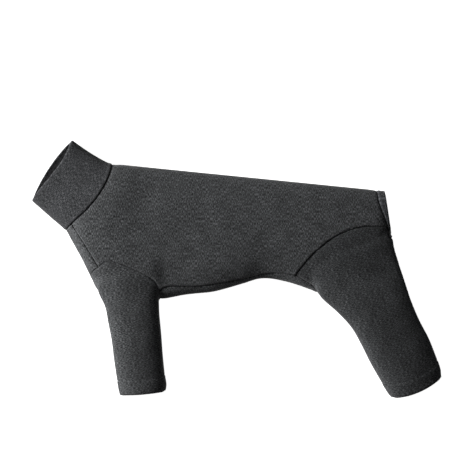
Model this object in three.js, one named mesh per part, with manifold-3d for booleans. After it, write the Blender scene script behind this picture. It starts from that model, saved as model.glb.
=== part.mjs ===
// A dog's jumpsuit in soft knit, lying on its right side and filled out a little.
// A folded collar, a body panel over the back, an under panel from chest to tail,
// four legs and a band round the rear opening, each a thin wall of cloth, sewn edge to edge.
// Millimetres. X runs from collar to tail, Y from belly to back, Z up from the surface it lies on.
import * as THREE from "three";
import { mergeVertices } from "three/addons/utils/BufferGeometryUtils.js";
import Module from "manifold-3d";

const wasm = await Module();
wasm.setup();

// Cloth
const cloth = 2.2; // one layer of brushed knit
const collarCloth = 3.6; // the collar is folded double
const hemCloth = 3.6; // a leg's hem is turned up once
const hemDepth = 25;
const bandCloth = 3.2; // the rear opening is bound with a folded strip
const seamGap = 0.3; // between two sewn edges

// Body
const backLength = 490; // neck seam to rear edge, along the back
const backFall = 49; // how far the back drops on its way to the tail
const bodyDepth = 234; // back line to crotch, across the flat body
const bodyThickness = 62; // the filled-out body, floor to top
const rearBandWidth = 14; // along the back
const rearBandFoot = 4; // at the lower end of the rear opening
const bandTuck = 3; // how far the band wraps on round the opening's foot
const hipSeamEnd = 0.8; // how far down the rear opening the hip seam meets its band
const bandSlimming = 0.1; // of the band's width at its top, where the hip seam meets it

// Collar
const collarLength = 79.5;
const collarSag = 2.5; // how far the nape edge sags below a straight line
const collarBackAngle = 148.2; // of the collar's nape edge, from +X
const collarThroatAngle = 138.9; // of its throat edge
const collarThickness = 40; // at the rim
const rimDip = 7; // the upper rim sags back towards the body
const rimReach = 8.5; // the lower rim lies out past the fold points

// Legs
const legGap = 4; // half the space between the left and right legs at the crotch
const legRest = 0.3; // half the space between them at the hem
const frontLegLength = 179; // crotch to hem
const frontLegWidth = 84; // across the flat hem
const frontLegAngle = 7.8; // from straight down, towards the tail
const frontHemAngle = 5; // of the hem's edge, from straight across
const frontHemBow = 1.5; // how far the hem's middle hangs below its ends
const rearLegLength = 213;
const rearLegWidth = 100;
const rearLegAngle = 24;
const rearHemAngle = 23;
const rearHemBow = 7.5;
const legThickness = 28; // at the hem

// How full the tubes lie: 2 is an oval, more is squarer
const bodyTopFullness = 2.4;
const legTopFullness = 2.2;
const tuckedFullness = 3; // where the legs lie on each other
const floorFullness = 5;
const floorPress = 1.08; // pushes a lower wall past the floor, where it is cut flat

// How finely the walls are drawn
const bodyRing = 22;
const legRing = 12;
const bodySteps = 2;
const legSteps = 2;
const seamSteps = 2;
const reach = 40; // how far a cutter stands out past what it cuts
const looseness = 1; // how far a cutter drawn round a tube stands off it

const middle = bodyThickness / 2;
const radians = THREE.MathUtils.degToRad;

// Sections of the body from neck seam to rear edge. back: share of backLength along the back;
// bellyX, bellyY: the lower fold, as shares of backLength and bodyDepth; high: share of bodyThickness.
const bodySections = [
  { back: 0.0, bellyX: -0.162, bellyY: -0.507, high: 0.9 },
  { back: 0.048, bellyX: -0.138, bellyY: -0.588, high: 0.96 },
  { back: 0.096, bellyX: -0.1, bellyY: -0.731, high: 1.0 },
  { back: 0.143, bellyX: -0.068, bellyY: -0.869, high: 1.0 },
  { back: 0.187, bellyX: -0.031, bellyY: -0.985, high: 1.0 },
  { back: 0.231, bellyX: 0.07, bellyY: -1.031, high: 1.0 },
  { back: 0.279, bellyX: 0.18, bellyY: -1.031, high: 1.0 },
  { back: 0.353, bellyX: 0.276, bellyY: -0.996, high: 1.0 },
  { back: 0.437, bellyX: 0.378, bellyY: -0.973, high: 1.0 },
  { back: 0.518, bellyX: 0.474, bellyY: -0.919, high: 0.99 },
  { back: 0.591, bellyX: 0.555, bellyY: -0.873, high: 0.98 },
  { back: 0.665, bellyX: 0.639, bellyY: -0.896, high: 0.97 },
  { back: 0.738, bellyX: 0.724, bellyY: -0.954, high: 0.96 },
  { back: 0.805, bellyX: 0.801, bellyY: -1.023, high: 0.95 },
  { back: 0.863, bellyX: 0.882, bellyY: -1.0, high: 0.92 },
  { back: 0.915, bellyX: 0.948, bellyY: -0.885, high: 0.88 },
  { back: 0.959, bellyX: 0.992, bellyY: -0.723, high: 0.84 },
  { back: 1.0, bellyX: 1.022, bellyY: -0.53, high: 0.8 },
];

// Where a leg's tube rises out of the body. Both fold points are body shares;
// high is a share of bodyThickness.
const frontLegRoot = [
  { foreX: -0.022, foreY: -0.754, aftX: 0.135, aftY: -0.708, high: 0.8 },
  { foreX: -0.04, foreY: -0.862, aftX: 0.169, aftY: -0.8, high: 0.93 },
  { foreX: -0.043, foreY: -0.965, aftX: 0.177, aftY: -0.935, high: 0.96 },
];
const rearLegRoot = [
  { foreX: 0.74, foreY: -0.646, aftX: 0.955, aftY: -0.43, high: 0.76 },
  { foreX: 0.717, foreY: -0.802, aftX: 1.0, aftY: -0.538, high: 0.86 },
  { foreX: 0.745, foreY: -0.92, aftX: 1.038, aftY: -0.64, high: 0.9 },
];

// A leg below the crotch. along: share of its length; fore, aft: shares of its width, from its axis.
const frontLegSections = [
  { along: 0.1, fore: 0.545, aft: 0.59 },
  { along: 0.25, fore: 0.525, aft: 0.556 },
  { along: 0.445, fore: 0.502, aft: 0.538 },
  { along: 0.64, fore: 0.508, aft: 0.512 },
  { along: 0.84, fore: 0.502, aft: 0.496 },
  { along: 0.95, fore: 0.494, aft: 0.5 },
  { along: 1.0, fore: 0.482, aft: 0.47 },
];
const rearLegSections = [
  { along: 0.0, fore: 0.9, aft: 0.6 },
  { along: 0.167, fore: 0.745, aft: 0.56 },
  { along: 0.333, fore: 0.626, aft: 0.524 },
  { along: 0.5, fore: 0.588, aft: 0.518 },
  { along: 0.667, fore: 0.573, aft: 0.54 },
  { along: 0.833, fore: 0.538, aft: 0.526 },
  { along: 0.94, fore: 0.513, aft: 0.505 },
  { along: 1.0, fore: 0.49, aft: 0.462 },
];

// Seams as they show from above, in body shares. The same line is cut in the upper and the lower wall.
const seamMeets = {
  chestTop: [-0.14, -0.461],
  armholeTop: [-0.041, -0.788],
  armholeFoot: [0.18, -0.969],
  hipFoot: [0.675, -0.848],
};
const neckTop = [
  [0.004, 0.12],
  [0.007, -0.02],
  [-0.007, -0.123],
  [-0.037, -0.235],
  [-0.079, -0.342],
  seamMeets.chestTop,
];
const neckFoot = [seamMeets.chestTop, [-0.17, -0.525], [-0.205, -0.61]];
const chest = [seamMeets.chestTop, [-0.09, -0.62], seamMeets.armholeTop];
const armholeFront = [seamMeets.armholeTop, [-0.06, -0.82], [-0.085, -0.88], [-0.12, -0.95]];
const armholeCap = [
  seamMeets.armholeTop,
  [-0.004, -0.742],
  [0.055, -0.774],
  [0.119, -0.836],
  [0.162, -0.892],
  seamMeets.armholeFoot,
];
const armholeBack = [seamMeets.armholeFoot, [0.183, -1.02], [0.19, -1.08]];
const belly = [
  seamMeets.armholeFoot,
  [0.217, -0.935],
  [0.327, -0.935],
  [0.465, -0.885],
  [0.584, -0.835],
  seamMeets.hipFoot,
];
const hip = [
  seamMeets.hipFoot,
  [0.727, -0.715],
  [0.77, -0.631],
  [0.826, -0.548],
  [0.886, -0.498],
  [0.946, -0.477],
];
const thigh = [
  seamMeets.hipFoot,
  [0.707, -0.89],
  [0.732, -0.923],
  [0.752, -0.975],
  [0.765, -1.035],
  [0.768, -1.09],
];
// The band's front edge: share of the way down the rear opening, then how far its width is from foot to full.
const bandShares = [
  [0, 1],
  [0.25, 0.93],
  [0.48, 0.55],
  [0.64, 0.24],
];

const at = ([x, y]) => new THREE.Vector2(x * backLength, y * bodyDepth);
const heading = (degrees) => new THREE.Vector2(Math.cos(radians(degrees)), Math.sin(radians(degrees)));
const curve = (points) => new THREE.SplineCurve(points).getPoints((points.length - 1) * seamSteps);

// The fold points of one body section, on the back line and on the belly line.
function bodyFolds({ back, bellyX, bellyY }) {
  return {
    p: new THREE.Vector2(back * backLength, -back * backFall),
    q: at([bellyX, bellyY]),
  };
}

// The body and collar as sections of one limp tube, rim first.
function trunkSections() {
  const neck = bodyFolds(bodySections[0]);
  const collar = [1, 0.8, 0.4].map((share) => ({
    p: heading(collarBackAngle).multiplyScalar(collarLength * share).add(neck.p)
      .addScaledVector(heading(collarBackAngle + 90), collarSag * 4 * share * (1 - share)),
    q: heading(collarThroatAngle).multiplyScalar(collarLength * share).add(neck.q),
    low: 0,
    high: THREE.MathUtils.lerp(bodySections[0].high * bodyThickness, collarThickness, share),
    wall: collarCloth,
    bowTop: -rimDip * share ** 3,
    bowBottom: rimReach * share ** 3,
  }));
  const body = bodySections.map((row) => ({
    ...bodyFolds(row),
    low: 0,
    high: row.high * bodyThickness,
    wall: row.back === 1 ? bandCloth : cloth,
    bowTop: 0,
    bowBottom: 0,
  }));
  return [...collar, ...body];
}

// One leg as sections of a limp tube, from inside the body to the hem. The left leg lies on the right one.
function legSections(leg, left) {
  const axis = heading(leg.angle - 90);
  const root = leg.root.map((row) => ({
    p: at([row.foreX, row.foreY]),
    q: at([row.aftX, row.aftY]),
    gap: legGap,
    thickness: row.high * bodyThickness - middle - legGap,
    wall: cloth,
    bow: 0,
  }));
  const topThickness = root[root.length - 1].thickness;
  const limb = leg.sections.map((row) => {
    const centre = axis.clone().multiplyScalar(row.along * leg.length).add(at(leg.origin));
    const across = heading(THREE.MathUtils.lerp(leg.angle, leg.hemAngle, row.along));
    return {
      p: across.clone().multiplyScalar(-row.fore * leg.width).add(centre),
      q: across.clone().multiplyScalar(row.aft * leg.width).add(centre),
      gap: THREE.MathUtils.lerp(legGap, legRest, row.along ** 2),
      thickness: THREE.MathUtils.lerp(topThickness, legThickness, row.along),
      wall: (1 - row.along) * leg.length > hemDepth ? cloth : hemCloth,
      bow: leg.bow * row.along ** 4,
    };
  });
  return [...root, ...limb].map(({ p, q, gap, thickness, wall, bow }) => {
    const low = left ? middle + gap : 0;
    const high = left ? middle + gap + thickness : middle - gap;
    return { p, q, low, high, wall, bowTop: bow, bowBottom: bow };
  });
}

// Catmull-Rom between the rows of a section table, so that a short table gives a smooth tube.
function smooth(rows, steps) {
  const keys = ["px", "py", "qx", "qy", "low", "high", "wall", "bowTop", "bowBottom"];
  const flat = rows.map(({ p, q, ...rest }) => ({ px: p.x, py: p.y, qx: q.x, qy: q.y, ...rest }));
  const row = (i) => flat[THREE.MathUtils.clamp(i, 0, flat.length - 1)];
  const out = [];
  for (let i = 0; i < flat.length - 1; i += 1) {
    for (let j = 0; j < steps; j += 1) {
      const t = j / steps;
      const made = {};
      for (const key of keys) {
        const [a, b, c, d] = [row(i - 1)[key], row(i)[key], row(i + 1)[key], row(i + 2)[key]];
        made[key] = b + 0.5 * t * (c - a + t * (2 * a - 5 * b + 4 * c - d + t * (3 * (b - c) + d - a)));
      }
      out.push(made);
    }
  }
  out.push(flat[flat.length - 1]);
  return out.map(({ px, py, qx, qy, ...rest }) => ({
    p: new THREE.Vector2(px, py),
    q: new THREE.Vector2(qx, qy),
    ...rest,
  }));
}

// The points round one section: a squashed oval between its two folds, full above and flat below.
function ring(row, outward, count, roundTop, roundBottom, inset) {
  const side = row.q.clone().sub(row.p).normalize().multiplyScalar(inset);
  const p = row.p.clone().add(side);
  const q = row.q.clone().sub(side);
  const low = row.low + inset;
  const high = row.high - inset;
  const centre = (low + high) / 2;
  return Array.from({ length: count }, (_, i) => {
    const turn = (2 * Math.PI * i) / count;
    const [c, s] = [Math.cos(turn), Math.sin(turn)].map((v) => (Math.abs(v) < 1e-9 ? 0 : v));
    const power = 2 / (s >= 0 ? roundTop : roundBottom);
    const across = 0.5 - 0.5 * Math.sign(c) * Math.abs(c) ** power;
    const rise = (Math.sign(s) * Math.abs(s) ** power * (high - low)) / 2;
    const bow = (s >= 0 ? row.bowTop : row.bowBottom) * Math.abs(s);
    const point = p.clone().lerp(q, across).addScaledVector(outward, bow);
    const height = s >= 0 ? centre + rise : Math.max(low, centre + rise * floorPress);
    return new THREE.Vector3(point.x, point.y, height);
  });
}

// Which way the tube runs at a row.
function direction(rows, i) {
  const middleOf = ({ p, q }) => p.clone().add(q).multiplyScalar(0.5);
  const [a, b] = [rows[Math.max(0, i - 1)], rows[Math.min(rows.length - 1, i + 1)]];
  return middleOf(b).sub(middleOf(a)).normalize();
}

// A closed solid from a list of rings, capped by a strip across each end.
function loft(rings) {
  const count = rings[0].length;
  const index = [];
  for (let r = 0; r < rings.length - 1; r += 1) {
    for (let i = 0; i < count; i += 1) {
      const a = r * count + i;
      const b = r * count + ((i + 1) % count);
      index.push(a, b, a + count, b, b + count, a + count);
    }
  }
  const last = (rings.length - 1) * count;
  for (let i = 0; i < count / 2; i += 1) {
    const [a, b] = [i, i + 1];
    const [c, d] = [(count - i) % count, count - i - 1];
    for (const [u, v, w] of [[a, d, b], [a, c, d]]) {
      if (u !== v && v !== w && w !== u) {
        index.push(u, v, w);
        index.push(last + u, last + w, last + v);
      }
    }
  }
  const geometry = new THREE.BufferGeometry().setFromPoints(rings.flat());
  geometry.setIndex(index);
  return solid(geometry);
}

// A three.js geometry as a closed solid for cutting and joining.
function solid(geometry) {
  const bare = geometry.clone();
  bare.deleteAttribute("normal");
  bare.deleteAttribute("uv");
  const merged = mergeVertices(bare, 1e-4);
  const made = new wasm.Manifold(
    new wasm.Mesh({
      numProp: 3,
      vertProperties: merged.attributes.position.array,
      triVerts: new Uint32Array(merged.index.array),
    }),
  );
  if (made.volume() > 0) return made;
  const turned = merged.index.array.slice().reverse();
  return solid(new THREE.BufferGeometry().setAttribute("position", merged.attributes.position)
    .setIndex(new THREE.BufferAttribute(turned, 1)));
}

// A limp tube, the hollow in it, which runs on past each open end, and a loose sleeve round it.
function tube(rows, { count, roundTop, roundBottom, bowSign, openFirst }) {
  const rings = (insetOf) => rows.map((row, i) =>
    ring(row, direction(rows, i).multiplyScalar(bowSign), count, roundTop, roundBottom, insetOf(row)));
  const beyond = (points, way) => points.map((v) => v.clone().add(new THREE.Vector3(way.x, way.y, 0)));
  const hollow = rings((row) => row.wall);
  const last = rows.length - 1;
  hollow.push(beyond(hollow[last], direction(rows, last).multiplyScalar(reach)));
  if (openFirst) hollow.unshift(beyond(hollow[0], direction(rows, 0).multiplyScalar(-reach)));
  return { outer: loft(rings(() => 0)), hollow: loft(hollow), sleeve: loft(rings(() => -looseness)) };
}

// An upright prism over an outline seen from above.
function prism(outline, low = -reach, high = bodyThickness + reach) {
  const shape = new THREE.Shape(outline);
  const geometry = new THREE.ExtrudeGeometry(shape, { depth: high - low, bevelEnabled: false });
  return solid(geometry.translate(0, 0, low));
}

// A thin upright sheet along a seam, which leaves the sewn edges a hair apart.
function seamCut(line) {
  const side = (i, sign) => {
    const [a, b] = [line[Math.max(0, i - 1)], line[Math.min(line.length - 1, i + 1)]];
    const way = b.clone().sub(a).normalize();
    return line[i].clone().add(new THREE.Vector2(-way.y, way.x).multiplyScalar((sign * seamGap) / 2));
  };
  const left = line.map((_, i) => side(i, 1));
  const right = line.map((_, i) => side(i, -1)).reverse();
  return prism([...left, ...right]);
}

// Everything between two heights.
function slab(low, high) {
  const size = 10 * (backLength + bodyDepth);
  return solid(new THREE.BoxGeometry(size, size, high - low).translate(0, 0, (low + high) / 2));
}

const frontLeg = {
  origin: [0.071, -0.985],
  root: frontLegRoot,
  sections: frontLegSections,
  length: frontLegLength,
  width: frontLegWidth,
  angle: frontLegAngle,
  hemAngle: frontHemAngle,
  bow: frontHemBow,
};
const rearLeg = {
  origin: [0.939, -0.865],
  root: rearLegRoot,
  sections: rearLegSections,
  length: rearLegLength,
  width: rearLegWidth,
  angle: rearLegAngle,
  hemAngle: rearHemAngle,
  bow: rearHemBow,
};

// The band's front edge follows the rear opening and turns out past the opening's foot.
function bandEdge() {
  const end = bodyFolds(bodySections[bodySections.length - 1]);
  const inward = heading(180);
  const down = end.q.clone().sub(end.p).normalize();
  const fromTop = (share, width) => end.p.clone().lerp(end.q, share).addScaledVector(inward, width);
  const widthAt = (wide) => THREE.MathUtils.lerp(rearBandFoot, rearBandWidth, wide);
  const foot = fromTop(1, rearBandFoot).addScaledVector(down, bandTuck);
  return {
    top: fromTop(0, rearBandWidth).addScaledVector(down, -reach),
    upper: bandShares.map(([share, wide]) => fromTop(share, widthAt(wide))),
    hipEnd: fromTop(hipSeamEnd, widthAt(bandSlimming)),
    foot,
    out: foot.clone().addScaledVector(inward, -2 * reach),
  };
}

const trunk = tube(smooth(trunkSections(), bodySteps), {
  count: bodyRing,
  roundTop: bodyTopFullness,
  roundBottom: floorFullness,
  bowSign: -1,
  openFirst: true,
});
const legTube = (leg, left) => tube(smooth(legSections(leg, left), legSteps), {
  count: legRing,
  roundTop: left ? legTopFullness : tuckedFullness,
  roundBottom: left ? tuckedFullness : floorFullness,
  bowSign: 1,
  openFirst: false,
});
const tubes = [trunk, ...[frontLeg, rearLeg].flatMap((leg) => [legTube(leg, true), legTube(leg, false)])];
const outside = tubes.map((t) => t.outer).reduce((a, b) => a.add(b));
const inside = tubes.map((t) => t.hollow).reduce((a, b) => a.add(b));

const edge = bandEdge();
const seams = {
  neckTop: curve(neckTop.map(at)),
  neckFoot: curve(neckFoot.map(at)),
  chest: curve(chest.map(at)),
  armholeFront: curve(armholeFront.map(at)),
  armholeCap: curve(armholeCap.map(at)),
  armholeBack: curve(armholeBack.map(at)),
  belly: curve(belly.map(at)),
  hip: curve([...hip.map(at), edge.hipEnd]),
  thigh: curve(thigh.map(at)),
  bandTop: curve([edge.top, ...edge.upper, edge.hipEnd]),
  bandFoot: [edge.hipEnd, edge.foot, edge.out],
};
const shell = outside.subtract(inside);
const sewn = Object.values(seams).reduce((cloths, line) => cloths.subtract(seamCut(line)), shell);

// What each panel takes of the cloth, as outlines along the seams and on round the outside.
const back = (line) => [...line].reverse();
const corner = (x, y) => at([x, y]);
const outlines = {
  collar: [...seams.neckTop, ...seams.neckFoot, corner(-0.6, -0.8), corner(-0.6, 0.6), corner(0.004, 0.6)],
  body: [
    ...seams.neckTop,
    ...seams.chest,
    ...seams.armholeCap,
    ...seams.belly,
    ...seams.hip,
    ...back(seams.bandTop),
    corner(1.0, 0.6),
    corner(0.004, 0.6),
  ],
  chest: [
    ...seams.chest,
    ...seams.armholeFront,
    corner(-0.3, -0.95),
    corner(-0.3, -0.7),
    ...back(seams.neckFoot),
  ],
  belly: [...seams.belly, ...seams.thigh, corner(0.72, -1.3), corner(0.25, -1.3), ...back(seams.armholeBack)],
  frontLegs: [
    ...back(seams.armholeFront),
    ...seams.armholeCap,
    ...seams.armholeBack,
    corner(0.45, -3),
    corner(-0.4, -3),
  ],
  rearLegs: [...seams.hip, ...seams.bandFoot, corner(1.7, -3), corner(0.7, -3), ...back(seams.thigh)],
  band: [...seams.bandTop, ...seams.bandFoot, corner(1.3, 0.6), corner(1.0, 0.6)],
};
const panelOf = (name) => sewn.intersect(prism(outlines[name]));

// The under panel runs on between the legs as a strip, from the chest to the foot of the rear opening.
const between = (clearance) =>
  slab(middle - legGap + clearance, middle + legGap - clearance).intersect(trunk.sleeve);
const strip = between(2 * seamGap);
const stripRoom = between(seamGap);
const legRegions = prism(outlines.frontLegs).add(prism(outlines.rearLegs));
const underRegion = prism(outlines.chest).add(prism(outlines.belly));
const legsOnly = sewn.subtract(stripRoom);
const upper = slab(middle, bodyThickness + reach);
const lower = slab(-reach, middle);

const pieces = {
  collar: panelOf("collar"),
  body_panel: panelOf("body"),
  under_panel: shell.intersect(strip).intersect(legRegions.add(underRegion)).add(sewn.intersect(underRegion)),
  front_leg_left: legsOnly.intersect(prism(outlines.frontLegs)).intersect(upper),
  front_leg_right: legsOnly.intersect(prism(outlines.frontLegs)).intersect(lower),
  rear_leg_left: legsOnly.intersect(prism(outlines.rearLegs)).intersect(upper),
  rear_leg_right: legsOnly.intersect(prism(outlines.rearLegs)).intersect(lower),
  rear_band: panelOf("band"),
};

// Looks: charcoal heather knit, a little paler on the collar.
const knit = { roughness: 0.95, metalness: 0 };
const charcoal = 0x393a3b;
const colours = { collar: 0x404143, rear_band: 0x35363a };

function meshOf(name, piece) {
  const { vertProperties, triVerts } = piece.getMesh();
  const geometry = new THREE.BufferGeometry();
  geometry.setAttribute("position", new THREE.BufferAttribute(new Float32Array(vertProperties), 3));
  geometry.setIndex(new THREE.BufferAttribute(new Uint32Array(triVerts), 1));
  const material = new THREE.MeshStandardMaterial({ color: colours[name] ?? charcoal, ...knit });
  const mesh = new THREE.Mesh(geometry, material);
  mesh.name = name;
  return mesh;
}

const jumpsuit = new THREE.Group();
for (const [name, piece] of Object.entries(pieces)) jumpsuit.add(meshOf(name, piece));

// The origin is the middle of the surface it lies on.
const box = new THREE.Box3().setFromObject(jumpsuit, true);
const centre = box.getCenter(new THREE.Vector3());
for (const mesh of jumpsuit.children) mesh.geometry.translate(-centre.x, -centre.y, -box.min.z);

export default jumpsuit;
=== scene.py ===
# %% [markdown]
# # A dog's jumpsuit in charcoal heather knit
#
# The jumpsuit lies on its right side on a pale floor, head to the left, and is filled out softly.
# It is sewn from eight pieces: a folded collar, a panel over the back, a panel under the chest and
# belly, four legs with turned-up hems, and a band round the rear opening. The solid model gives
# the size and the place of each piece. This script makes the cloth: its skin, seams, hems and knit.

# %% Load the solid model
import math

import bmesh
import bpy
import numpy as np
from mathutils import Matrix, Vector, noise


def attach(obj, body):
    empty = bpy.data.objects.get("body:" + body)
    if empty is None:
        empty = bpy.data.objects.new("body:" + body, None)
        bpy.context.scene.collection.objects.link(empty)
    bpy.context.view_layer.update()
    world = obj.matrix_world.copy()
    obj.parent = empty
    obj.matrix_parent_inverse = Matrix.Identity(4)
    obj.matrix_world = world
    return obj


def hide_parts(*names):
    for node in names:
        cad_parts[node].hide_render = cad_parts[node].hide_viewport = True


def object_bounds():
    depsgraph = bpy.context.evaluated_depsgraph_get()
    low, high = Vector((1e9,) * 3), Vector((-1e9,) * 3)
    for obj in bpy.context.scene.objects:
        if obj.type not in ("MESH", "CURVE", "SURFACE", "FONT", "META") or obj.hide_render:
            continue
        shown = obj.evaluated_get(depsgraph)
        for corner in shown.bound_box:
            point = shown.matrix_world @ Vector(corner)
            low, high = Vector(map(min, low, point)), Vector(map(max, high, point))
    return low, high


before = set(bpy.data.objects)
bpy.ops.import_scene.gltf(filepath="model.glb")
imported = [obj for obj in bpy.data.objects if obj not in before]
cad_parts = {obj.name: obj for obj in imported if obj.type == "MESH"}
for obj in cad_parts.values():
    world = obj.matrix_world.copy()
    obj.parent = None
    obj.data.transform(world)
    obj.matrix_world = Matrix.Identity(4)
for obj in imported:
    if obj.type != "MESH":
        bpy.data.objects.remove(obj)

cad_low, cad_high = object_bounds()
print("solid model from", tuple(round(v, 3) for v in cad_low), "to", tuple(round(v, 3) for v in cad_high))

# %% [markdown]
# ## Sizes
#
# The same driving sizes as the solid model's, in metres. Everything else is a share of these.

# %% Driving sizes
mm = 0.001
cloth = 2.2 * mm
double_cloth = 3.6 * mm
hem_depth = 25 * mm
back_length = 490 * mm
back_fall = 49 * mm
body_depth = 234 * mm
body_thickness = 62 * mm
rear_band_width = 14 * mm
rear_band_foot = 4 * mm
band_tuck = 3 * mm
collar_length = 79.5 * mm
collar_sag = 2.5 * mm
collar_back_angle = 148.2
collar_throat_angle = 138.9
collar_thickness = 40 * mm
rim_dip = 6 * mm
rim_reach = 8 * mm
leg_gap = 4 * mm
leg_rest = 0.3 * mm
leg_thickness = 28 * mm
hem_corner = 5 * mm  # how far a hem's edge rises at its ends
edge_roll = 1.2 * mm  # how far the rolled edges of rim and hems reach past the solid's
armpit_hollow = 3.5 * mm  # how deep the soft hollow behind a front leg is
regained = 0.5 * mm  # what smoothing takes off the sides, given back
front_lean = 0.06  # how far the ridge of a front leg lies towards its front, as a share of its width
rear_lean = 0.2
front_swell = (0, 4 * mm)  # how much fuller an upper leg is than the solid's, at its root and below
rear_swell = (3 * mm, 7.5 * mm)
full_swell = 0.4  # the share of a leg's length at which its swell is full
middle = body_thickness / 2
grain = 2.4 * mm  # the size of the skin's faces
overrun = 20 * mm  # how far a tube runs past its open end before it is trimmed

# %% [markdown]
# ## Sections
#
# A garment lies as limp tubes. Each row below is one section of a tube, with its two folds as
# shares of the back length and the body depth, measured from the top of the neck seam. The form
# could be sculpted by eye, but rows of sections keep it true to the solid model.

# %% Tables of sections
body_columns = ("back", "belly_x", "belly_y", "high")
body_sections = [
    (0.0, -0.162, -0.507, 0.9),
    (0.048, -0.138, -0.588, 0.96),
    (0.096, -0.1, -0.731, 1.0),
    (0.143, -0.068, -0.869, 1.0),
    (0.187, -0.031, -0.985, 1.0),
    (0.231, 0.07, -1.031, 1.0),
    (0.279, 0.18, -1.031, 1.0),
    (0.353, 0.276, -0.996, 1.0),
    (0.437, 0.378, -0.973, 1.0),
    (0.518, 0.474, -0.919, 0.99),
    (0.591, 0.555, -0.873, 0.98),
    (0.665, 0.639, -0.896, 0.97),
    (0.738, 0.724, -0.954, 0.96),
    (0.805, 0.801, -1.023, 0.95),
    (0.863, 0.882, -1.0, 0.92),
    (0.915, 0.948, -0.885, 0.88),
    (0.959, 0.992, -0.723, 0.84),
    (1.0, 1.022, -0.53, 0.8),
]

# Rows where a leg rises out of the body: its front fold, its rear fold and its height.
front_root = [
    (-0.022, -0.754, 0.135, -0.708, 0.8),
    (-0.04, -0.862, 0.169, -0.8, 0.93),
    (-0.043, -0.965, 0.177, -0.935, 0.96),
]
rear_root = [
    (0.74, -0.646, 0.99, -0.45, 0.8),
    (0.717, -0.802, 1.025, -0.55, 0.9),
    (0.745, -0.92, 1.034, -0.645, 0.9),
]

# Rows below the crotch: share of the leg's length, then the front and rear fold as shares of its width.
front_limb = [
    (0.1, 0.545, 0.59),
    (0.25, 0.525, 0.556),
    (0.445, 0.502, 0.538),
    (0.64, 0.508, 0.512),
    (0.84, 0.502, 0.496),
    (0.95, 0.494, 0.5),
    (1.0, 0.482, 0.47),
]
rear_limb = [
    (0.0, 0.9, 0.6),
    (0.167, 0.745, 0.56),
    (0.333, 0.626, 0.524),
    (0.5, 0.588, 0.518),
    (0.667, 0.573, 0.54),
    (0.833, 0.538, 0.526),
    (0.94, 0.513, 0.505),
    (1.0, 0.49, 0.462),
]
# bow is how much lower a hem hangs in its middle. fullness is 2 for an oval and less for a ridge.
legs = {
    "front": dict(
        root=front_root, limb=front_limb, origin=(0.071, -0.985), length=179 * mm, width=84 * mm,
        angle=7.8, hem_angle=5, bow=1.5 * mm, fore_corner=1 * mm,
        lean=front_lean, swell=front_swell, fullness=2.0,
    ),
    "rear": dict(
        root=rear_root, limb=rear_limb, origin=(0.939, -0.865), length=213 * mm, width=100 * mm,
        angle=24, hem_angle=23, bow=8.5 * mm, fore_corner=hem_corner,
        lean=rear_lean, swell=rear_swell, fullness=1.7,
    ),
}


def heading(degrees):
    """A unit step in that direction, seen from above."""
    return np.array([math.cos(math.radians(degrees)), math.sin(math.radians(degrees))])


nape_rim = heading(collar_back_angle) * collar_length
throat_seam = np.array([body_sections[0][1] * back_length, body_sections[0][2] * body_depth])
throat_rim = throat_seam + heading(collar_throat_angle) * collar_length
neck_place = np.array([cad_low.x - throat_rim[0], cad_high.y - nape_rim[1]])


def at(x_share, y_share):
    """A place on the flat body, from its shares."""
    return neck_place + np.array([x_share * back_length, y_share * body_depth])


def smooth_line(points, steps):
    """A smooth curve through the points, with that many steps between each two."""
    points = np.asarray(points, float)
    padded = np.vstack([points[:1], points, points[-1:]])
    t = np.linspace(0, 1, steps, endpoint=False)[:, None]
    out = []
    for a, b, c, d in zip(padded[:-3], padded[1:-2], padded[2:-1], padded[3:]):
        out.append(b + 0.5 * t * (c - a + t * (2 * a - 5 * b + 4 * c - d + t * (3 * (b - c) + d - a))))
    return np.vstack(out + [points[-1:]])


print("neck seam's top at", neck_place.round(4))

# %% [markdown]
# ## The skin
#
# The outer skin starts as five limp tubes: the body with its collar, and four legs that run up into
# it. Each tube is a grid rolled up and squashed, fuller above and flat where it lies. A voxel remesh
# then welds the five into one skin of even faces, and smoothing melts the creases at the leg roots,
# as soft knit does. Booleans could join the tubes too, but they would leave hard creases there.
# The legs are kept well apart while they are welded and are laid together later.


# %% Rows of each tube
def trunk_rows():
    """Collar and body as one tube: back fold, belly fold, low, high, and how the rim bows."""
    first = dict(zip(body_columns, body_sections[0]))
    nape, throat = at(0, 0), at(first["belly_x"], first["belly_y"])
    rows = []
    for share in (1 + overrun / collar_length, 1, 0.8, 0.4):
        high = first["high"] * body_thickness * (1 - min(share, 1)) + collar_thickness * min(share, 1)
        sag = heading(collar_back_angle + 90) * collar_sag * max(0, 4 * share * (1 - share))
        rows.append([*(nape + heading(collar_back_angle) * collar_length * share + sag),
                     *(throat + heading(collar_throat_angle) * collar_length * share), 0, high])
    for section in body_sections:
        row = dict(zip(body_columns, section))
        back = neck_place + np.array([row["back"] * back_length, -row["back"] * back_fall])
        rows.append([*back, *at(row["belly_x"], row["belly_y"]), 0, row["high"] * body_thickness])
    last = rows[-1]
    rows.append([last[0] + overrun, last[1], last[2] + overrun, last[3] + 0.4 * overrun, 0, last[5]])
    return np.array(rows)


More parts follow.
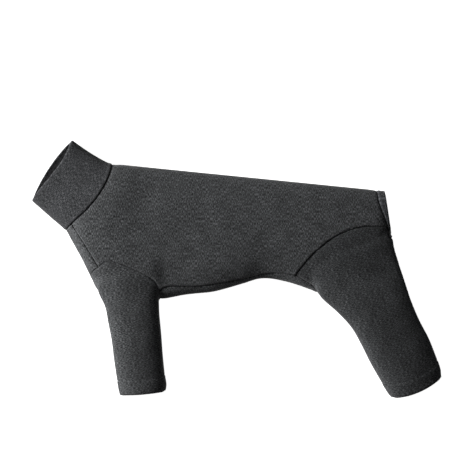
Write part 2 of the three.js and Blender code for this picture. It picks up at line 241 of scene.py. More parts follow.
def leg_rows(leg, left):
    """One leg as a tube. The left leg lies on top of the right one."""
    down = heading(leg["angle"] - 90)
    rows = []
    for fore_x, fore_y, aft_x, aft_y, high in leg["root"]:
        rows.append([*at(fore_x, fore_y), *at(aft_x, aft_y), high * body_thickness - middle - leg_gap])
    root_swell, limb_swell = leg["swell"]
    swell = [root_swell] * len(rows)
    top = rows[-1][4]
    beyond = 1 + overrun / leg["length"]
    for along, fore, aft in leg["limb"] + [(beyond, *leg["limb"][-1][1:])]:
        centre = at(*leg["origin"]) + down * leg["length"] * along
        turn = min(along, 1)
        across = heading(leg["angle"] * (1 - turn) + leg["hem_angle"] * turn)
        thick = top + (leg_thickness - top) * min(along, 1)
        fore_fold = centre - across * fore * leg["width"]
        aft_fold = centre + across * aft * leg["width"]
        rows.append([*fore_fold, *aft_fold, thick])
        swell.append(root_swell + (limb_swell - root_swell) * min(along / full_swell, 1))
    rows = np.array(rows)
    low = np.full(len(rows), middle + leg_gap if left else 0.0)
    high = low + rows[:, 4] + swell if left else np.full(len(rows), middle - leg_gap)
    return np.column_stack([rows[:, :4], low, high])


# %% Rolling a grid into a tube
body_top_fullness = 2.4  # 2 is an oval, more is squarer
tucked_fullness = 3.0
floor_fullness = 5.0
floor_press = 1.08


def deselect():
    """Leaves edit mode and selects nothing."""
    if bpy.context.object and bpy.context.object.mode == "EDIT":
        bpy.ops.object.mode_set(mode="OBJECT")
    bpy.ops.object.select_all(action="DESELECT")


def limp_tube(name, rows, around, top_fullness, under_fullness, lean=0.0):
    """Adds a grid, rolls it round the sections, closes its ends and turns its faces outwards."""
    deselect()
    bpy.ops.mesh.primitive_grid_add(x_subdivisions=around, y_subdivisions=len(rows) - 1, size=1)
    tube = bpy.context.object
    tube.name = name
    place = np.empty(len(tube.data.vertices) * 3)
    tube.data.vertices.foreach_get("co", place)
    place = place.reshape(-1, 3)
    turn = (place[:, 0] + 0.5) * 2 * math.pi
    row = rows[np.rint((place[:, 1] + 0.5) * (len(rows) - 1)).astype(int)]
    cosine, sine = np.cos(turn), np.sin(turn)
    power = np.where(sine >= 0, 2 / top_fullness, 2 / under_fullness)
    across = 0.5 - 0.5 * np.sign(cosine) * np.abs(cosine) ** power
    across -= lean * np.maximum(sine, 0) ** 2
    rise = np.sign(sine) * np.abs(sine) ** power * (row[:, 5] - row[:, 4]) / 2
    centre = (row[:, 4] + row[:, 5]) / 2
    place[:, :2] = row[:, :2] + (row[:, 2:4] - row[:, :2]) * across[:, None]
    place[:, 2] = np.where(sine >= 0, centre + rise, np.maximum(row[:, 4], centre + rise * floor_press))
    tube.data.vertices.foreach_set("co", place.ravel())
    bpy.ops.object.mode_set(mode="EDIT")
    bpy.ops.mesh.select_all(action="SELECT")
    bpy.ops.mesh.remove_doubles(threshold=0.1 * mm)
    bpy.ops.mesh.select_all(action="DESELECT")
    bpy.ops.mesh.select_non_manifold()
    bpy.ops.mesh.fill_holes(sides=0)
    bpy.ops.mesh.select_all(action="SELECT")
    bpy.ops.mesh.normals_make_consistent(inside=False)
    bpy.ops.object.mode_set(mode="OBJECT")
    return tube


trunk = smooth_line(trunk_rows(), 6)
tubes = [limp_tube("trunk_tube", trunk, 96, body_top_fullness, floor_fullness)]
for end, leg in legs.items():
    for side in ("left", "right"):
        top = leg["fullness"] if side == "left" else tucked_fullness
        under = tucked_fullness if side == "left" else floor_fullness
        rows = smooth_line(leg_rows(leg, side == "left"), 6)
        lean = leg["lean"] if side == "left" else 0
        tubes.append(limp_tube(f"{end}_{side}_tube", rows, 64, top, under, lean))
print("tubes:", ", ".join(f"{t.name} {len(t.data.polygons)} faces" for t in tubes))

# %% Weld the tubes into one skin
deselect()
for tube in tubes:
    tube.select_set(True)
skin = tubes[0]
bpy.context.view_layer.objects.active = skin
bpy.ops.object.join()
skin.name = "skin"
weld = skin.modifiers.new("weld", "REMESH")
weld.mode = "VOXEL"
weld.voxel_size = grain
bpy.ops.object.modifier_apply(modifier=weld.name)
soften = skin.modifiers.new("soften", "SMOOTH")
soften.factor = 0.5
soften.iterations = 8
bpy.ops.object.modifier_apply(modifier=soften.name)
print("skin:", len(skin.data.polygons), "faces")

# %% [markdown]
# ## Seams
#
# The seams are lines seen from above, cut alike through the upper and the lower layer. The skin is
# split exactly along them, so that each panel has a clean edge. The real panels are cut flat and
# sewn together, which a cloth simulation could follow, but one skin that is cut afterwards keeps its
# form and has no gaps at the seams.

# %% Seam lines
chest_top, armhole_top = (-0.14, -0.461), (-0.041, -0.788)
armhole_foot, hip_foot = (0.18, -0.969), (0.675, -0.848)
rear_top = neck_place + np.array([back_length, -back_fall])
rear_foot = at(1.025, -0.554)
rear_down = (rear_foot - rear_top) / np.linalg.norm(rear_foot - rear_top)


def seam(*shares):
    """A seam as a smooth line through places on the flat body."""
    return smooth_line([at(*share) for share in shares], 6)


def band_point(share, width):
    """A place that far down the rear opening and that far in from its edge."""
    return rear_top + (rear_foot - rear_top) * share - np.array([width, 0])


def band_width(share):
    """The band's width, that share of the way from its foot's to its full width."""
    return rear_band_foot + (rear_band_width - rear_band_foot) * share


band_shares = [(0, 1), (0.25, 0.93), (0.48, 0.55), (0.64, 0.24)]
hip_end = band_point(0.8, band_width(0.1))
band_foot = band_point(1, rear_band_foot) + rear_down * band_tuck
neck_top = seam((0.004, 0.12), (0.007, -0.02), (-0.007, -0.123), (-0.037, -0.235), (-0.079, -0.342),
                chest_top)
neck_foot = seam(chest_top, (-0.17, -0.525), (-0.205, -0.61))
chest = seam(chest_top, (-0.09, -0.62), armhole_top)
armhole_front = seam(armhole_top, (-0.06, -0.82), (-0.085, -0.88), (-0.12, -0.95))
armhole_cap = seam(armhole_top, (-0.004, -0.742), (0.055, -0.774), (0.119, -0.836), (0.162, -0.892),
                   armhole_foot)
armhole_back = seam(armhole_foot, (0.183, -1.02), (0.19, -1.08))
belly = seam(armhole_foot, (0.217, -0.935), (0.327, -0.935), (0.465, -0.885), (0.584, -0.835), hip_foot)
hip_shares = [hip_foot, (0.727, -0.715), (0.77, -0.631), (0.826, -0.548), (0.886, -0.498), (0.946, -0.477)]
hip = smooth_line([at(*share) for share in hip_shares] + [hip_end], 6)
thigh = seam(hip_foot, (0.707, -0.89), (0.732, -0.923), (0.752, -0.975), (0.765, -1.035), (0.768, -1.09))
band_line = [band_point(share, band_width(wide)) for share, wide in band_shares]
band_top = smooth_line([band_line[0] - rear_down * 2 * overrun, *band_line, hip_end], 6)
band_end = np.array([hip_end, band_foot, band_foot + np.array([4 * overrun, 0])])

# Each seam: its line, how deep it lies at its start and at its end, and how much the cloth on its
# left laps over.
seams = [
    (neck_top, 0.5, 1.0, -0.65),
    (neck_foot, 1.0, 0.8, -0.5),
    (chest, 1.0, 0.8, 0.4),
    (armhole_front, 0.45, 0.2, 0.2),
    (armhole_cap, 0.35, 0.7, 0.0),
    (armhole_back, 0.7, 0.7, -0.3),
    (belly, 0.9, 0.7, 0.5),
    (hip, 0.85, 0.75, 0.5),
    (thigh, 1.0, 0.9, 0.4),
    (band_top, 0.9, 0.9, 0.6),
    (band_end, 0.8, 0.8, 0.3),
]
print(len(seams), "seam lines")


# %% Distance from a line
def from_line(line, xy):
    """For each point, its signed distance from the line, how far along it lies, and the way back to it."""
    nearest = np.full(len(xy), np.inf)
    signed = np.zeros(len(xy))
    along = np.zeros(len(xy))
    away = np.zeros((len(xy), 2))
    run = 0.0
    last = len(line) - 2
    for i, (a, b) in enumerate(zip(line[:-1], line[1:])):
        step = b - a
        length = np.linalg.norm(step)
        share = (xy - a) @ step / length**2
        off = xy - a - np.clip(share, 0, 1)[:, None] * step
        gap = np.hypot(off[:, 0], off[:, 1])
        closer = gap < nearest
        side = np.sign(step[0] * (xy[:, 1] - a[1]) - step[1] * (xy[:, 0] - a[0]))
        inner = np.clip(share, 0 if i else -np.inf, 1 if i < last else np.inf)
        nearest[closer] = gap[closer]
        signed[closer] = (gap * side)[closer]
        along[closer] = run + (inner * length)[closer]
        away[closer] = off[closer]
        run += length
    return signed, along, run, away


def seam_field(line, slack):
    """A field whose zero is the seam, for the points beside it."""
    def field(place):
        signed, along, run, away = from_line(line, place[:, :2])
        usable = (along > -slack) & (along < run + slack) & (np.abs(signed) < 4 * grain)
        return signed, usable, np.column_stack([away, np.zeros(len(away))])
    return field


def hem_frame(leg):
    """Where a leg's hem lies, the way out past it and the way across it."""
    centre = at(*leg["origin"]) + heading(leg["angle"] - 90) * leg["length"]
    return centre, heading(leg["hem_angle"] - 90), heading(leg["hem_angle"])


def below_hem(leg, place):
    """How far each point lies past a leg's hem, which hangs lowest in its middle and has round ends."""
    centre, down, across = hem_frame(leg)
    offset = place[:, :2] - centre
    share = np.clip(offset @ across / leg["width"] * 2, -1, 1)
    corner = np.clip((np.abs(share) - 0.8) / 0.2, 0, 1) ** 2
    corner *= np.where(share < 0, leg["fore_corner"], hem_corner)
    beside = np.abs(offset @ across) > leg["width"]
    return np.where(beside, -1.0, offset @ down - leg["bow"] * (1 - share**2) + corner - edge_roll)


def beyond_rim(place):
    """How far each point lies past the collar's rim. The upper rim sags back, the lower one reaches out."""
    nape, throat = neck_place + nape_rim, neck_place + throat_rim
    along = (throat - nape) / np.linalg.norm(throat - nape)
    out = np.array([along[1], -along[0]])
    if out @ heading(collar_back_angle) < 0:
        out = -out
    offset = place[:, :2] - nape
    share = np.clip(offset @ along / np.linalg.norm(throat - nape), 0, 1)
    lift = np.clip(place[:, 2] / collar_thickness, 0, 1)
    reach = rim_reach * (4 * share * (1 - share)) ** 0.8
    dip = rim_dip * np.sin(math.pi * share**0.6) ** 1.5
    return offset @ out - reach * (1 - lift) + dip * lift - edge_roll, out


def flat_pull(signed, way):
    """The step from the zero of a field that runs one way only."""
    return np.column_stack([signed[:, None] * way, np.zeros(len(signed))])


def rim_field(place):
    """A field whose zero is the collar's rim."""
    signed, out = beyond_rim(place)
    return signed, np.abs(signed) < 4 * grain, flat_pull(signed, out)


def hem_field(leg):
    """A field whose zero is a leg's hem."""
    centre, down, across = hem_frame(leg)

    def field(place):
        signed = below_hem(leg, place)
        beside = np.abs((place[:, :2] - centre) @ across) < leg["width"]
        return signed, beside & (np.abs(signed) < 4 * grain), flat_pull(signed, down)
    return field


def inside(outline, xy):
    """Which points lie inside a closed outline."""
    result = np.zeros(len(xy), bool)
    for a, b in zip(outline, np.roll(outline, -1, axis=0)):
        straddles = (a[1] > xy[:, 1]) != (b[1] > xy[:, 1])
        rise = b[1] - a[1] if b[1] != a[1] else 1e-12
        result ^= straddles & (xy[:, 0] < a[0] + (xy[:, 1] - a[1]) * (b[0] - a[0]) / rise)
    return result


# %% Outlines of the panels, seen from above
outlines = {
    "collar": [*neck_top, *neck_foot, at(-0.6, -0.8), at(-0.6, 0.6), at(0.004, 0.6)],
    "body": [*neck_top, *chest, *armhole_cap, *belly, *hip, *band_top[::-1], at(1, 0.6), at(0.004, 0.6)],
    "chest": [*chest, *armhole_front, at(-0.3, -0.95), at(-0.3, -0.7), *neck_foot[::-1]],
    "belly": [*belly, *thigh, at(0.72, -1.3), at(0.25, -1.3), *armhole_back[::-1]],
    "front_legs": [*armhole_front[::-1], *armhole_cap, *armhole_back, at(0.45, -3), at(-0.4, -3)],
    "rear_legs": [*hip, *band_end, at(1.7, -3), at(0.7, -3), *thigh[::-1]],
    "band": [*band_top, *band_end, at(1.3, 0.6), at(1, 0.6)],
    "past_rear": [rear_top - rear_down * overrun, rear_top, rear_foot, rear_foot + np.array([0.1, 0.012]),
                  rear_top + np.array([0.1, 0.1])],
}
outlines = {name: np.array(points) for name, points in outlines.items()}
trunk_outline = np.vstack([trunk[:, :2], trunk[::-1, 2:4]])
strip_height = leg_gap - 0.6 * mm


def strip_field(level):
    """The edge of the strip that the under panel sends between the legs."""
    def field(place):
        signed = place[:, 2] - level
        in_legs = inside(outlines["front_legs"], place[:, :2]) | inside(outlines["rear_legs"], place[:, :2])
        near_fold = np.abs(from_line(trunk[:, 2:4], place[:, :2])[0]) < 6 * mm
        usable = (np.abs(signed) < 4 * grain) & in_legs & near_fold
        pull = np.zeros((len(place), 3))
        pull[:, 2] = signed
        return signed, usable, pull
    return field


# %% Split the skin along a field's zero
def split(bm, field, snap=0.3):
    """Moves points that are close to the line onto it, then cuts the faces that cross it."""
    place = np.array([v.co for v in bm.verts])
    signed, usable, pull = field(place)
    close = usable & (np.abs(signed) < snap * grain)
    for i in np.flatnonzero(close):
        bm.verts[i].co -= Vector(pull[i])
    signed[close] = 0
    on_line = [bm.verts[i] for i in np.flatnonzero(close)]
    ends = np.array([(e.verts[0].index, e.verts[1].index) for e in bm.edges])
    crossing = usable[ends].all(axis=1) & (signed[ends[:, 0]] * signed[ends[:, 1]] < 0)
    edges = [bm.edges[i] for i in np.flatnonzero(crossing)]
    for edge in edges:
        a, b = signed[edge.verts[0].index], signed[edge.verts[1].index]
        on_line.append(bmesh.utils.edge_split(edge, edge.verts[0], a / (a - b))[1])
    bmesh.ops.connect_verts(bm, verts=on_line)
    bm.verts.index_update()
    bm.verts.ensure_lookup_table()
    bm.edges.ensure_lookup_table()
    return len(edges)


bm = bmesh.new()
bm.from_mesh(skin.data)
bm.verts.ensure_lookup_table()
bm.edges.ensure_lookup_table()
fields = [seam_field(line, 1.5 * grain) for line, *_ in seams]
fields += [seam_field(np.array([rear_top - rear_down * overrun, rear_foot]), 0.5 * grain), rim_field]
fields += [hem_field(leg) for leg in legs.values()]
fields += [strip_field(middle - strip_height), strip_field(middle + strip_height)]
for field in fields:
    print("cut", split(bm, field), "edges")
bm.to_mesh(skin.data)
bm.free()

# %% Sort the faces into panels
panels = ["collar", "body_panel", "under_panel", "front_leg_left", "front_leg_right",
          "rear_leg_left", "rear_leg_right", "rear_band", "waste"]
centres = np.empty(len(skin.data.polygons) * 3)
skin.data.polygons.foreach_get("center", centres)
centres = centres.reshape(-1, 3)
flat_centres = centres[:, :2]
within = {name: inside(outline, flat_centres) for name, outline in outlines.items()}
in_strip = inside(trunk_outline, flat_centres) | (np.abs(from_line(trunk[:, 2:4], flat_centres)[0]) < 3 * mm)
in_strip &= np.abs(centres[:, 2] - middle) < strip_height
left = centres[:, 2] > middle
chosen = np.full(len(centres), panels.index("body_panel"))
chosen[within["collar"]] = panels.index("collar")
chosen[within["chest"] | within["belly"]] = panels.index("under_panel")
for end in legs:
    here = within[f"{end}_legs"]
    chosen[here & left] = panels.index(f"{end}_leg_left")
    chosen[here & ~left] = panels.index(f"{end}_leg_right")
    chosen[here & in_strip] = panels.index("under_panel")
    chosen[here & (below_hem(legs[end], centres) > 0)] = panels.index("waste")
chosen[within["band"]] = panels.index("rear_band")
chosen[within["past_rear"]] = panels.index("waste")
chosen[beyond_rim(centres)[0] > 0] = panels.index("waste")
print({name: int((chosen == i).sum()) for i, name in enumerate(panels)})

# %% [markdown]
# ## Laying the legs together
#
# The left leg now sinks until it lies on the right one at the hem, and the right one fills out to
# meet it. Seams pull in a little, and the whole cloth gets the slow waves that laid knit keeps.
# All of it could be pushed about by hand with a brush. Short formulas do it evenly, and give the
# same cloth on each run.

# %% Lay the legs together
place = np.empty(len(skin.data.vertices) * 3)
skin.data.vertices.foreach_get("co", place)
place = place.reshape(-1, 3)
for end, leg in legs.items():
    centre, down, _ = hem_frame(leg)
    along = 1 + (place[:, :2] - centre) @ down / leg["length"]
    here = inside(outlines[f"{end}_legs"], place[:, :2]) & (along > 0)
    closing = np.where(here, (leg_gap - leg_rest) * np.clip(along, 0, 1) ** 2, 0)
    upper = place[:, 2] > middle
    place[:, 2] -= np.where(upper, closing, 0)
    place[:, 2] *= np.where(upper, 1, 1 + closing / (middle - leg_gap))
skin.data.vertices.foreach_set("co", place.ravel())
skin.data.update()

# %% Sizes of laps, grooves and waves
lap_height = 0.9 * mm
lap_ridge, lap_width = 2.6 * mm, 3.2 * mm  # where the lapping cloth stands highest, and how wide
lap_fade = 14 * mm  # how far the cloth under it takes to rise again
stitch_depth, stitch_width = 1.0 * mm, 1.5 * mm  # a seam's sharp groove
press_depth, press_width = 0.4 * mm, 6 * mm  # the soft dent round it
pucker_height, pucker_size, pucker_reach = 0.45 * mm, 7 * mm, 8 * mm
slow_wave, slow_size = 1.3 * mm, 75 * mm
quick_wave, quick_size = 0.5 * mm, 24 * mm
hollow_place = (0.2, -0.86)  # behind the front leg
hollow_fore, hollow_aft, hollow_across = 16 * mm, 50 * mm, 24 * mm
hem_step, hem_step_width = 0.25 * mm, 1.6 * mm  # the edge of the turned-up layer
hem_stitch, hem_stitch_width = 0.6 * mm, 1.4 * mm  # the row of stitches that holds it
hem_curl, rim_curl = 1.3 * mm, 1.6 * mm  # how far the last row of an open edge turns in


def swelling(distance, width):
    """One in the middle, falling off smoothly on both sides."""
    return np.exp(-((distance / width) ** 2))


def ripple(places, size, seed):
    """Slow waves over the cloth, from -1 to 1, with that distance between them."""
    shift = Vector((seed * 7.3, seed * 3.1, seed * 5.7))
    return np.array([noise.noise(Vector(p) / size + shift) for p in places])


# %% Press the seams in and let the cloth wave
normals = np.empty(len(skin.data.vertices) * 3)
skin.data.vertices.foreach_get("normal", normals)
normals = normals.reshape(-1, 3)
seam_gap = np.full(len(place), 1.0)
seam_depth = np.zeros(len(place))
lapped = np.zeros(len(place))
for line, start, end, lap in seams:
    signed, along, run, _ = from_line(line, place[:, :2])
    depth = start + (end - start) * np.clip(along / run, 0, 1)
    beside = (along > -3 * mm) & (along < run + 3 * mm) & (np.abs(signed) < 12 * mm)
    nearer = beside & (np.abs(signed) < seam_gap)
    seam_depth = np.where(nearer, depth, seam_depth)
    seam_gap = np.where(nearer, np.abs(signed), seam_gap)
    over = signed * np.sign(lap)
    ridge = 1.2 * swelling(over - lap_ridge, lap_width)
    tucked = -0.8 * np.exp(over / lap_fade)
    lapped += np.where(beside, abs(lap) * np.where(over > 0.1 * mm, ridge, tucked), 0)
groove = stitch_depth * swelling(seam_gap, stitch_width) + press_depth * swelling(seam_gap, press_width)
pucker = pucker_height * np.exp(-seam_gap / pucker_reach) * ripple(place, pucker_size, 1)
waves = slow_wave * ripple(place, slow_size, 2) + quick_wave * ripple(place, quick_size, 3)
waves *= np.abs(normals[:, 2])
aside = place[:, :2] - at(*hollow_place)
hollow = swelling(aside[:, 0], np.where(aside[:, 0] < 0, hollow_fore, hollow_aft))
hollow *= swelling(aside[:, 1], hollow_across)
place[:, 2] -= armpit_hollow * hollow * np.clip(normals[:, 2], 0, 1)
place += normals * (waves + pucker + lap_height * lapped - groove * seam_depth)[:, None]
place[:, :2] += normals[:, :2] * regained
print("grooves up to", round((groove * seam_depth).max() / mm, 2), "mm")
print("waves up to", round(np.abs(waves).max() / mm, 2), "mm")

# %% Turn up the hems and curl the open edges
hem_gap = np.full(len(place), 1.0)
for leg in legs.values():
    above = -below_hem(leg, place)
    hem_gap = np.where(np.abs(above) < 2 * hem_depth, above, hem_gap)
fold = hem_step * (1 - np.tanh((hem_gap - hem_depth) / hem_step_width))
stitches = hem_stitch * swelling(hem_gap - hem_depth, hem_stitch_width)
curl = hem_curl * (np.abs(hem_gap) < 0.5 * mm) + rim_curl * (np.abs(beyond_rim(place)[0]) < 1 * mm)
place += normals * (fold - stitches - curl)[:, None]
place[:, 2] = np.maximum(place[:, 2], 0.2 * mm)
skin.data.vertices.foreach_set("co", place.ravel())
skin.data.update()
print("skin from", place.min(axis=0).round(4), "to", place.max(axis=0).round(4))

# %% Store what the knit reads
stored = {
    "seam_mm": np.minimum(seam_gap / mm, 30),
    "seam_depth": seam_depth,
    "hem_mm": np.clip(hem_gap / mm, -5, 60),
    "edge_mm": np.clip(np.minimum(hem_gap, np.abs(beyond_rim(place)[0])) / mm, 0, 30),
}
for name, values in stored.items():
    skin.data.attributes.new(name, "FLOAT", "POINT").data.foreach_set("value", values)

# %% Lay a flat map over the cloth for the knit to follow
skin.data.vertices.foreach_get("normal", normals.ravel())
flat_normal = np.clip(np.abs(normals[:, 2]), 0, 1)
turned = np.arccos(flat_normal)
drop = np.where(normals[:, 2] > 0, body_thickness - place[:, 2], place[:, 2])
spread = drop * (turned - np.sin(turned)) / np.maximum(1 - flat_normal, 1e-3)
sideways = normals[:, :2] / np.maximum(np.hypot(normals[:, 0], normals[:, 1]), 1e-6)[:, None]
laid = place[:, :2] + sideways * np.clip(spread, 0, 30 * mm)[:, None]
# The legs are cut across the body's grain, and the collar on a slant
grain_turn = {"collar": -36, "front_leg_left": 97.8, "front_leg_right": 97.8, "rear_leg_left": 114,
              "rear_leg_right": 114}
knit_map = skin.data.uv_layers.new(name="knit")
corner_vertex = np.empty(len(skin.data.loops), int)
skin.data.loops.foreach_get("vertex_index", corner_vertex)
corner_panel = np.repeat(chosen, [p.loop_total for p in skin.data.polygons])
uv = laid[corner_vertex].copy()
for name, degrees in grain_turn.items():
    here = corner_panel == panels.index(name)
    c, s = math.cos(math.radians(-degrees)), math.sin(math.radians(-degrees))
    uv[here] = uv[here] @ np.array([[c, s], [-s, c]])
knit_map.data.foreach_set("uv", uv.ravel())
print("flat map from", uv.min(axis=0).round(3), "to", uv.max(axis=0).round(3))

# %% [markdown]
# ## Panels
#
# Each panel becomes a piece of its own, and gets the thickness of its cloth inwards: one layer for
# the panels, two for the folded collar, the hems and the band. A second skin could be modelled inside
# the first, but Solidify makes it in one step, and a vertex group tells it where the cloth is double.

# %% Separate the panels
skin.data.materials.clear()
for name in panels:
    skin.data.materials.append(bpy.data.materials.new(name))
skin.data.polygons.foreach_set("material_index", chosen)
skin.data.update()
deselect()
skin.select_set(True)
bpy.context.view_layer.objects.active = skin
bpy.ops.object.mode_set(mode="EDIT")
bpy.ops.mesh.select_all(action="SELECT")
bpy.ops.mesh.separate(type="MATERIAL")
bpy.ops.object.mode_set(mode="OBJECT")
pieces = {}
for piece in list(bpy.context.selected_objects):
    name = piece.data.materials[piece.data.polygons[0].material_index].name
    if name == "waste":
        bpy.data.objects.remove(piece)
        continue
    pieces[name] = piece
    piece.name = f"{name}_cloth"
    piece.data.name = piece.name
print("pieces:", sorted(pieces))

# %% Give the cloth its thickness
for name, piece in pieces.items():
    deselect()
    piece.select_set(True)
    bpy.context.view_layer.objects.active = piece
    double = piece.vertex_groups.new(name="double")
    above = np.empty(len(piece.data.vertices), np.float32)
    piece.data.attributes["hem_mm"].data.foreach_get("value", above)
    if name in ("collar", "rear_band"):
        double.add(range(len(above)), 1.0, "REPLACE")
    else:
        double.add([int(i) for i in np.flatnonzero(above < hem_depth / mm)], 1.0, "REPLACE")
    wall = piece.modifiers.new("wall", "SOLIDIFY")
    wall.thickness = double_cloth
    wall.offset = -1
    wall.vertex_group = double.name
    wall.thickness_vertex_group = cloth / double_cloth
    wall.use_even_offset = False
    bpy.ops.object.modifier_apply(modifier=wall.name)
    inner_side = (np.arange(len(piece.data.vertices)) >= len(above)).astype(float)
    piece.data.attributes.new("inner_side", "FLOAT", "POINT").data.foreach_set("value", inner_side)
    place = np.empty(len(piece.data.vertices) * 3)
    piece.data.vertices.foreach_get("co", place)
    place[2::3] = np.maximum(place[2::3], 0.1 * mm)  # nothing reaches below the floor
    piece.data.vertices.foreach_set("co", place)
    bpy.ops.object.shade_smooth()

# %% [markdown]
# ## The knit
#
# The cloth is a brushed heather knit: dark and pale fibres are spun together, so the yarn is
# flecked, and the stitches stand in fine upright columns. Its pile keeps it matt, with a soft sheen
# where it turns away. At the photograph's scale single stitches are too fine to show, so the flecks
# are drawn coarser than the yarn. A tiled image could give the knit, but its repeats would show.
# Noise stretched along the columns makes the flecks instead, and it follows a flat map of the cloth,
# so that it doesn't smear on the folds.


# %% Colours and nodes
def linear(code):
    """An sRGB hex colour as linear red, green, blue and alpha."""
    channels = [int(code[i:i + 2], 16) / 255 for i in (1, 3, 5)]
    return [c / 12.92 if c <= 0.04045 else ((c + 0.055) / 1.055) ** 2.4 for c in channels] + [1]


def add(tree, kind, sources=(), **settings):
    """Adds a node with its settings. Each source is a number for its socket, or a node or output to link."""
    made = tree.nodes.new(kind)
    for key, value in settings.items():
        setattr(made, key, value)
    for socket, source in sources:
        if isinstance(source, bpy.types.Node):
            source = source.outputs[0]
        if isinstance(source, bpy.types.NodeSocket):
            tree.links.new(made.inputs[socket], source)
        else:
            made.inputs[socket].default_value = source
    return made


# %% Heather knit
fleck_width = 1.3 * mm  # a fleck of paler fibre is about 0.5 mm across, and is drawn coarser to show
fleck_length = 5.5 * mm
wale_width = 1.9 * mm  # a column of stitches is about 1.3 mm wide, and is drawn coarser to show
course_height = 1.5 * mm
fuzz_size = 0.9 * mm
cloud_size = 34 * mm
# Brushed fibres stand up, so the cloth is as matt as cloth gets and has a weak, wide sheen
pile = {"Roughness": 0.92, "Specular IOR Level": 0.25, "Sheen Weight": 0.12, "Sheen Roughness": 0.45}


def heather_knit(name, dark, middle_tone, pale, fleck=1.0):
    """Brushed heather knit in three tones of fibre, with its flecks that many times as large."""
    material = bpy.data.materials.new(name)
    material.use_nodes = True
    tree = material.node_tree
    shader = tree.nodes["Principled BSDF"]
    for socket, value in pile.items():
        shader.inputs[socket].default_value = value
    cloth_map = add(tree, "ShaderNodeUVMap", uv_map="knit")
    apart = add(tree, "ShaderNodeSeparateXYZ", [(0, cloth_map)])

    # Flecks of fibre, longer up the columns than across them
    closer = (1 / fleck_width / fleck, 1 / fleck_length / fleck, 1)
    stretched = add(tree, "ShaderNodeMapping", [(0, cloth_map), (3, closer)])
    grainy = [("Vector", stretched), ("Scale", 1.0), ("Detail", 3.0), ("Roughness", 0.65)]
    flecks = add(tree, "ShaderNodeTexNoise", grainy)
    tones = add(tree, "ShaderNodeValToRGB", [(0, flecks)])
    tones.color_ramp.elements[0].position = 0.39
    tones.color_ramp.elements[0].color = linear(dark)
    tones.color_ramp.elements[1].position = 0.62
    tones.color_ramp.elements[1].color = linear(pale)
    tones.color_ramp.elements.new(0.5).color = linear(middle_tone)
    broad = [("Vector", cloth_map), ("Scale", 1 / cloud_size), ("Detail", 4.0), ("Roughness", 0.7)]
    clouds = add(tree, "ShaderNodeTexNoise", broad)
    cloudy = add(tree, "ShaderNodeMapRange", [(0, clouds), (1, 0.3), (2, 0.7), (3, 0.75), (4, 1.25)])

    # The seam lies in shade
    seam_mm = add(tree, "ShaderNodeAttribute", attribute_name="seam_mm").outputs["Fac"]
    seam_depth = add(tree, "ShaderNodeAttribute", attribute_name="seam_depth").outputs["Fac"]
    closeness = add(tree, "ShaderNodeMapRange", [(0, seam_mm), (1, 0.2), (2, 1.2), (3, 0.94), (4, 0.0)],
                    interpolation_type="SMOOTHSTEP")
    shadow = add(tree, "ShaderNodeMath", [(0, closeness), (1, seam_depth)], operation="MULTIPLY")
    light = add(tree, "ShaderNodeMath", [(0, 1.0), (1, shadow)], operation="SUBTRACT")

    # A row of stitches holds the hem
    hem_mm = add(tree, "ShaderNodeAttribute", attribute_name="hem_mm").outputs["Fac"]
    past_row = add(tree, "ShaderNodeMath", [(0, hem_mm), (1, hem_depth / mm)], operation="SUBTRACT")
    off_row = add(tree, "ShaderNodeMath", [(0, past_row)], operation="ABSOLUTE")
    row = add(tree, "ShaderNodeMapRange", [(0, off_row), (1, 0.2), (2, 1.8), (3, 1.25), (4, 1.0)],
              interpolation_type="SMOOTHSTEP")
    light = add(tree, "ShaderNodeMath", [(0, light), (1, row)], operation="MULTIPLY")
    light = add(tree, "ShaderNodeMath", [(0, light), (1, cloudy)], operation="MULTIPLY")

    # Painted shade: the inside of the suit is drawn darker, for the shade shut in there, but not near its
    # open edges
    inner = add(tree, "ShaderNodeAttribute", attribute_name="inner_side").outputs["Fac"]
    edge_mm = add(tree, "ShaderNodeAttribute", attribute_name="edge_mm").outputs["Fac"]
    deep = add(tree, "ShaderNodeMapRange", [(0, edge_mm), (1, 1.0), (2, 5.0), (3, 0.0), (4, 0.65)],
               interpolation_type="SMOOTHSTEP")
    painted_inner_shade = add(tree, "ShaderNodeMath", [(0, inner), (1, deep)], operation="MULTIPLY")
    left_after_painted_shade = add(tree, "ShaderNodeMath", [(0, 1.0), (1, painted_inner_shade)], operation="SUBTRACT")
    light = add(tree, "ShaderNodeMath", [(0, light), (1, left_after_painted_shade)], operation="MULTIPLY")
    coloured = add(tree, "ShaderNodeVectorMath", [(0, tones), ("Scale", light)], operation="SCALE")
    tree.links.new(shader.inputs["Base Color"], coloured.outputs[0])

    # Stitches: each column is a row of small chevrons
    u, v = apart.outputs[0], apart.outputs[1]
    columns = add(tree, "ShaderNodeMath", [(0, u), (1, wale_width)], operation="DIVIDE")
    in_column = add(tree, "ShaderNodeMath", [(0, columns)], operation="FRACT")
    off_middle = add(tree, "ShaderNodeMath", [(0, in_column), (1, 0.5)], operation="SUBTRACT")
    aside = add(tree, "ShaderNodeMath", [(0, off_middle)], operation="ABSOLUTE")
    courses = add(tree, "ShaderNodeMath", [(0, v), (1, course_height)], operation="DIVIDE")
    slanted = add(tree, "ShaderNodeMath", [(0, courses), (1, aside)], operation="ADD")
    in_course = add(tree, "ShaderNodeMath", [(0, slanted)], operation="FRACT")
    half_turn = add(tree, "ShaderNodeMath", [(0, in_course), (1, math.pi)], operation="MULTIPLY")
    loop = add(tree, "ShaderNodeMath", [(0, half_turn)], operation="SINE")
    full_turn = add(tree, "ShaderNodeMath", [(0, aside), (1, 2 * math.pi)], operation="MULTIPLY")
    rounded = add(tree, "ShaderNodeMath", [(0, full_turn)], operation="SINE")
    stitch = add(tree, "ShaderNodeMath", [(0, loop), (1, rounded)], operation="MULTIPLY")

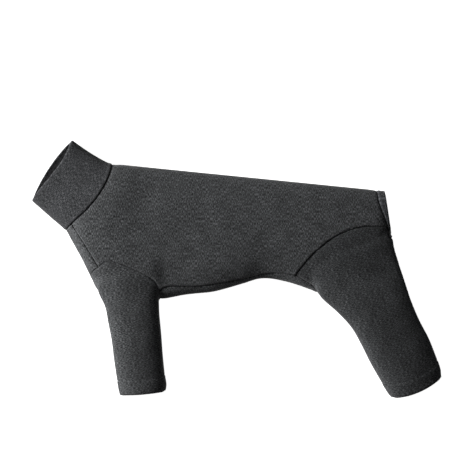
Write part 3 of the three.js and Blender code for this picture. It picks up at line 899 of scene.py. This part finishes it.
    # Stitches, fuzz and flecks all stand up a little
    fine = [("Vector", cloth_map), ("Scale", 1 / fuzz_size), ("Detail", 4.0)]
    fuzz = add(tree, "ShaderNodeTexNoise", fine)
    stitch_part = add(tree, "ShaderNodeMath", [(0, stitch), (1, 0.55)], operation="MULTIPLY")
    fuzz_part = add(tree, "ShaderNodeMath", [(0, fuzz), (1, 0.8)], operation="MULTIPLY")
    fleck_part = add(tree, "ShaderNodeMath", [(0, flecks), (1, 0.9)], operation="MULTIPLY")
    height = add(tree, "ShaderNodeMath", [(0, stitch_part), (1, fuzz_part)], operation="ADD")
    height = add(tree, "ShaderNodeMath", [(0, height), (1, fleck_part)], operation="ADD")
    bump = add(tree, "ShaderNodeBump", [("Height", height), ("Strength", 0.55), ("Distance", 0.6 * mm)])
    tree.links.new(shader.inputs["Normal"], bump.outputs[0])
    return material


# %% Give each piece its knit
# In the photograph the legs' flecks are finer. The rear legs' knit is a darker copy of the legs' knit:
# painted shade for the shade on the rear legs.
body_knit = heather_knit("charcoal_heather_knit", "#161718", "#3a3b3c", "#707274", 0.8)
collar_knit = heather_knit("charcoal_heather_knit_collar", "#141517", "#2e2f31", "#5a5b5d", 0.85)
leg_knit = heather_knit("charcoal_heather_knit_leg", "#18191a", "#3a3b3c", "#6b6d6f", 0.75)
rear_leg_shaded_knit = heather_knit("charcoal_heather_knit_rear_leg_painted_shade", "#141516", "#313233", "#5d5f61", 0.75)
band_knit = heather_knit("charcoal_heather_knit_band", "#191a1c", "#353638", "#5c5e62")
finishes = {"collar": collar_knit, "rear_band": band_knit, "front_leg_left": leg_knit,
            "front_leg_right": leg_knit, "rear_leg_left": rear_leg_shaded_knit, "rear_leg_right": rear_leg_shaded_knit}
for name, piece in pieces.items():
    piece.data.materials.clear()
    piece.data.materials.append(finishes.get(name, body_knit))
    piece.data.polygons.foreach_set("material_index", np.zeros(len(piece.data.polygons), int))

# %% Attach each piece to the body and hide the solid part it stands for
for name, piece in pieces.items():
    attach(piece, "root")
    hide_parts(name)

# %% [markdown]
# ## Floor, light and camera
#
# The photograph is taken from straight above, against white, with soft light from the left. A lit
# white floor would turn grey towards its edges, so this one glows by itself. The lens is long, so the
# suit's height doesn't make its outline larger.

# %% Floor
deselect()
bpy.ops.mesh.primitive_plane_add(size=12, location=(0, 0, 0))
floor = bpy.context.object
floor.name = "floor"
paper = bpy.data.materials.new("white_paper_floor")
paper.use_nodes = True
glow = {"Base Color": linear("#f4f4f4"), "Roughness": 0.8, "Emission Color": (1, 1, 1, 1),
        "Emission Strength": 1.0}
for socket, value in glow.items():
    paper.node_tree.nodes["Principled BSDF"].inputs[socket].default_value = value
floor.visible_diffuse = False  # so that the white paper doesn't light the cloth from below
floor.data.materials.append(paper)


# %% Light
def soft_light(name, place, aim, size, power):
    """A large square light, turned to face its aim."""
    deselect()
    bpy.ops.object.light_add(type="AREA", location=place)
    light = bpy.context.object
    light.name = name
    light.data.size = size
    light.data.energy = power
    light.rotation_euler = (Vector(aim) - Vector(place)).to_track_quat("-Z", "Y").to_euler()
    return light


soft_light("key_light", (-5.62, 1.3, 1.65), (0, 0, 0), 1.9, 800)
soft_light("top_light", (-0.6, 0.5, 2.6), (0, 0, 0), 1.6, 2)
world = bpy.data.worlds.new("studio")
world.use_nodes = True
world.node_tree.nodes["Background"].inputs["Color"].default_value = (1, 1, 1, 1)
world.node_tree.nodes["Background"].inputs["Strength"].default_value = 0.065
bpy.context.scene.world = world
bpy.context.scene.view_settings.view_transform = "Standard"

# %% Camera
picture = 465  # pixels
suit_left, suit_right, suit_top, suit_bottom = 32, 441, 140.5, 398.5  # pixels
scale = (cad_high.x - cad_low.x) / (suit_right - suit_left)
camera_place = Vector(((picture / 2 - (suit_left + suit_right) / 2) * scale,
                       ((suit_top + suit_bottom) / 2 - picture / 2) * scale, 0))
lens, sensor = 240, 36
folds_height = middle  # the outline of the suit lies about half way up
deselect()
camera_place.z = folds_height + picture * scale * lens / sensor
bpy.ops.object.camera_add(location=camera_place)
camera = bpy.context.object
camera.data.lens = lens
camera.data.sensor_width = sensor
camera.data.clip_end = 20
bpy.context.scene.camera = camera
